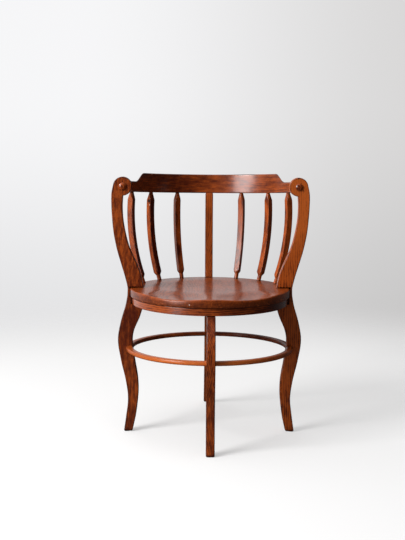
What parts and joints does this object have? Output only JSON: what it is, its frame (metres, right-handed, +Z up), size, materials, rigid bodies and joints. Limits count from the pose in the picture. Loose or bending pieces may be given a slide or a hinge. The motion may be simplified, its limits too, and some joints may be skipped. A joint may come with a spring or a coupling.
{
  "type": "round-seat barrel-back wooden armchair",
  "caption": "Barrel-back armchair with a round saddled seat, bent crest rail, curved spindles, cabriole legs cut in one with the scrolled arms, and a bent hoop stretcher.",
  "frame": {"origin": "on the floor, at the middle of the chair's overall width and depth", "axes": "+Z is up, the sitter faces -Y, and +X is to the right of someone who looks at the chair's front"},
  "size_m": [0.5922, 0.63, 0.7852],
  "materials": {
    "oak_seat": "stained oak with satin varnish",
    "oak_bent": "stained bent oak with satin varnish",
    "oak_board": "stained sawn oak with satin varnish",
    "oak_spindle": "stained oak with satin varnish",
    "oak_button": "stained turned oak with satin varnish",
    "screw_steel": "dull steel wood screws, hidden inside the joints"
  },
  "bodies": {
    "root": {"seat": "oak_seat", "apron_ring": "oak_bent", "left_leg_arm": "oak_board", "right_leg_arm": "oak_board", "front_leg": "oak_board", "back_leg_post": "oak_board", "hoop_stretcher": "oak_bent", "crest_rail": "oak_bent", "spindle_1": "oak_spindle", "spindle_2": "oak_spindle", "spindle_3": "oak_spindle", "spindle_4": "oak_spindle", "spindle_5": "oak_spindle", "spindle_6": "oak_spindle", "left_button": "oak_button", "right_button": "oak_button", "crest_screws": "screw_steel", "leg_screws": "screw_steel", "hoop_screws": "screw_steel", "seat_screws": "screw_steel"}
  },
  "joints": []
}
